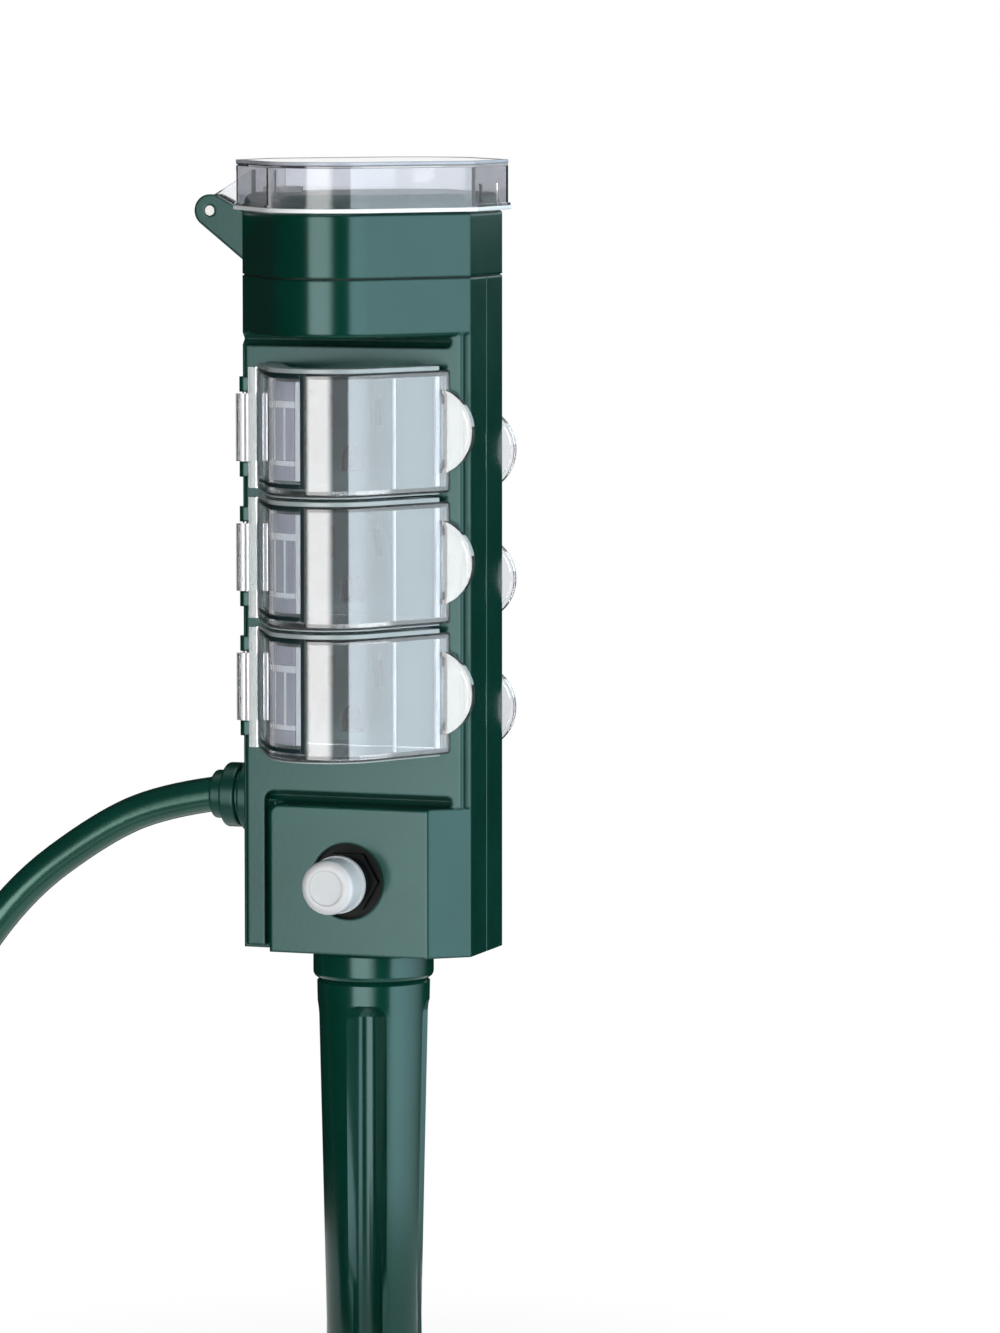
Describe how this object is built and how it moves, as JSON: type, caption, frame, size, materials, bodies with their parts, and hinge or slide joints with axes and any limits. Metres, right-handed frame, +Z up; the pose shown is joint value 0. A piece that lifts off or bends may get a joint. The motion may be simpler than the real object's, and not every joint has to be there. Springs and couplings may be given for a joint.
{
  "type": "garden socket spike",
  "caption": "Dark green outdoor power post on a fluted ground stake: outlets on both faces under clear hinged covers, reset button, lidded control deck, coiled mains cord with plug.",
  "frame": {"origin": "on the stake's axis at the ground line, 120 mm below the post's underside", "axes": "+Z up along the stake; +X towards the covers' finger tabs; -Y out of the face with the reset button"},
  "size_m": [0.1846, 0.2359, 0.448],
  "materials": {
    "dark_green_plastic": "semi-gloss moulded plastic",
    "clear_plastic": "clear polycarbonate",
    "milky_silicone": "milky soft boot",
    "white_plastic": "white moulded plastic",
    "black_plastic": "black moulded plastic",
    "insulating_plastic": "black glass-filled nylon",
    "brass": "stamped brass",
    "steel": "plated steel",
    "seal_rubber": "black foam seal",
    "circuit_board": "solder mask",
    "led_lens": "small lens",
    "cord_jacket": "satin PVC jacket"
  },
  "bodies": {
    "post": {"back_contact_carrier": "insulating_plastic", "back_ground_bus": "brass", "back_hinge_pins": "steel", "back_housing": "dark_green_plastic", "back_live_bus": "brass", "back_neutral_bus": "brass", "breaker_body": "black_plastic", "breaker_nut": "black_plastic", "breaker_terminals": "brass", "control_board": "circuit_board", "control_deck": "dark_green_plastic", "control_head": "dark_green_plastic", "cord_clamp": "insulating_plastic", "cord_coil": "cord_jacket", "cord_gland": "dark_green_plastic", "cord_tail": "cord_jacket", "filter_capacitor": "black_plastic", "front_contact_carrier": "insulating_plastic", "front_ground_bus": "brass", "front_hinge_pins": "steel", "front_housing": "dark_green_plastic", "front_live_bus": "brass", "front_neutral_bus": "brass", "head_gasket": "seal_rubber", "housing_screws": "steel", "insulating_divider": "insulating_plastic", "light_pipe": "clear_plastic", "plug_blades": "brass", "plug_body": "cord_jacket", "plug_ground_pin": "brass", "plug_strain_relief": "cord_jacket", "power_cord": "cord_jacket", "power_relay": "black_plastic", "stake": "dark_green_plastic", "stake_retainer": "insulating_plastic", "status_led": "led_lens", "tact_switch": "black_plastic", "wifi_module": "steel"},
    "lid": {"lid": "clear_plastic", "lid_hinge_pin": "clear_plastic"},
    "reset_button": {"reset_button": "white_plastic", "reset_boot": "milky_silicone"},
    "control_button": {"control_button": "white_plastic"},
    "front_cover_top": {"front_cover_top": "clear_plastic"},
    "front_cover_middle": {"front_cover_middle": "clear_plastic"},
    "front_cover_bottom": {"front_cover_bottom": "clear_plastic"},
    "back_cover_top": {"back_cover_top": "clear_plastic"},
    "back_cover_middle": {"back_cover_middle": "clear_plastic"},
    "back_cover_bottom": {"back_cover_bottom": "clear_plastic"}
  },
  "joints": [
    {"name": "lid_hinge", "type": "hinge", "parent": "post", "child": "lid", "pos_m": [-0.0444, 0, 0.3144], "axis": [0, -1, 0], "range_deg": [0, 115]},
    {"name": "front_cover_top_hinge", "type": "hinge", "parent": "post", "child": "front_cover_top", "pos_m": [-0.031, -0.0126, 0.258], "axis": [0, 0, -1], "range_deg": [0, 105]},
    {"name": "front_cover_middle_hinge", "type": "hinge", "parent": "post", "child": "front_cover_middle", "pos_m": [-0.031, -0.0126, 0.2238], "axis": [0, 0, -1], "range_deg": [0, 105]},
    {"name": "front_cover_bottom_hinge", "type": "hinge", "parent": "post", "child": "front_cover_bottom", "pos_m": [-0.031, -0.0126, 0.1896], "axis": [0, 0, -1], "range_deg": [0, 105]},
    {"name": "back_cover_top_hinge", "type": "hinge", "parent": "post", "child": "back_cover_top", "pos_m": [-0.031, 0.0126, 0.2515], "axis": [0, 0, 1], "range_deg": [0, 105]},
    {"name": "back_cover_middle_hinge", "type": "hinge", "parent": "post", "child": "back_cover_middle", "pos_m": [-0.031, 0.0126, 0.2173], "axis": [0, 0, 1], "range_deg": [0, 105]},
    {"name": "back_cover_bottom_hinge", "type": "hinge", "parent": "post", "child": "back_cover_bottom", "pos_m": [-0.031, 0.0126, 0.1831], "axis": [0, 0, 1], "range_deg": [0, 105]},
    {"name": "reset_press", "type": "slide", "parent": "post", "child": "reset_button", "axis": [0, 1, 0], "range_m": [0, 0.003], "stiffness_N_per_m": 500},
    {"name": "control_press", "type": "slide", "parent": "post", "child": "control_button", "axis": [0, 0, -1], "range_m": [0, 0.0008], "stiffness_N_per_m": 800}
  ]
}
